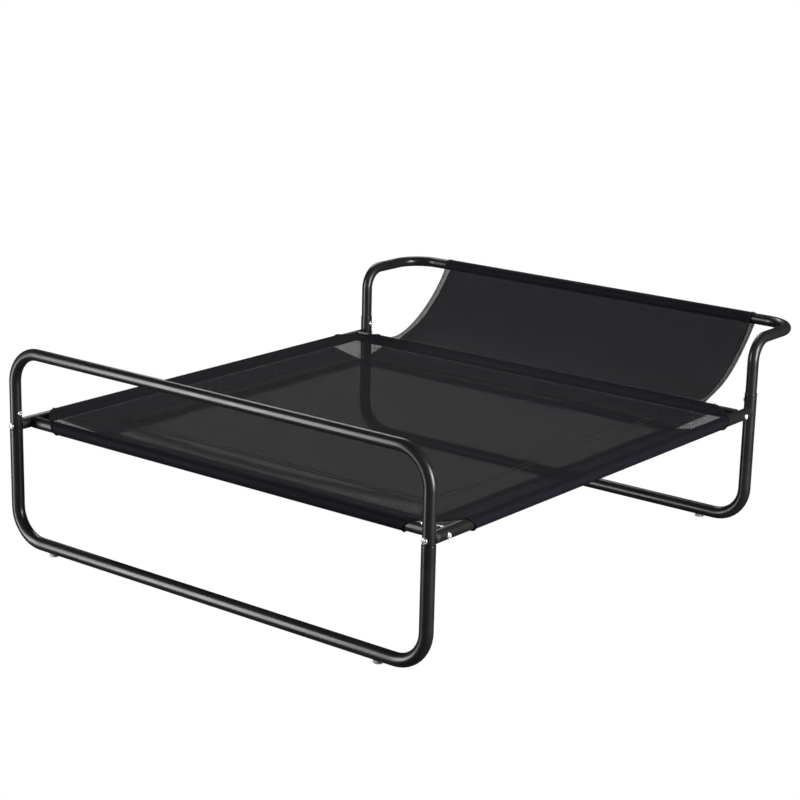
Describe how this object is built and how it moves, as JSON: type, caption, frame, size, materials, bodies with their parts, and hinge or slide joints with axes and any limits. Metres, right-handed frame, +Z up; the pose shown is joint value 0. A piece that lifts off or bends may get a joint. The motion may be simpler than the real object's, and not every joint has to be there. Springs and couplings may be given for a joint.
{
  "type": "raised dog bed",
  "caption": "Raised pet bed on two bent-tube end frames, with a slung black mesh seat and a sloping mesh back panel between the high rear hoop and the seat.",
  "frame": {"origin": "on the floor under the middle of the whole bed's box, back panel included", "axes": "+X towards the right when facing the back panel from the front, +Y from the low front hoop to the back panel, +Z up"},
  "size_m": [0.9068, 1.1145, 0.3551],
  "materials": {
    "painted_tube": "satin black-grey paint",
    "plug_steel": "plain steel",
    "black_plastic": "matte",
    "zinc_steel": "bright zinc",
    "clear_plastic": "milky translucent",
    "black_mesh": "open plastic-coated weave, see-through"
  },
  "bodies": {
    "root": {"front_lower_loop": "painted_tube", "rear_lower_loop": "painted_tube", "front_hoop": "painted_tube", "rear_hoop": "painted_tube", "left_side_rail": "painted_tube", "right_side_rail": "painted_tube", "front_cross_rail": "painted_tube", "rear_cross_rail": "painted_tube", "side_rail_plugs": "plug_steel", "cross_rail_plugs": "plug_steel", "front_saddles": "black_plastic", "rear_saddles": "black_plastic", "post_screws": "zinc_steel", "lock_screws": "zinc_steel", "rail_bolts": "zinc_steel", "front_foot_glides": "clear_plastic", "rear_foot_glides": "clear_plastic", "seat_top": "black_mesh", "seat_bottom": "black_mesh", "back_panel": "black_mesh"}
  },
  "joints": []
}
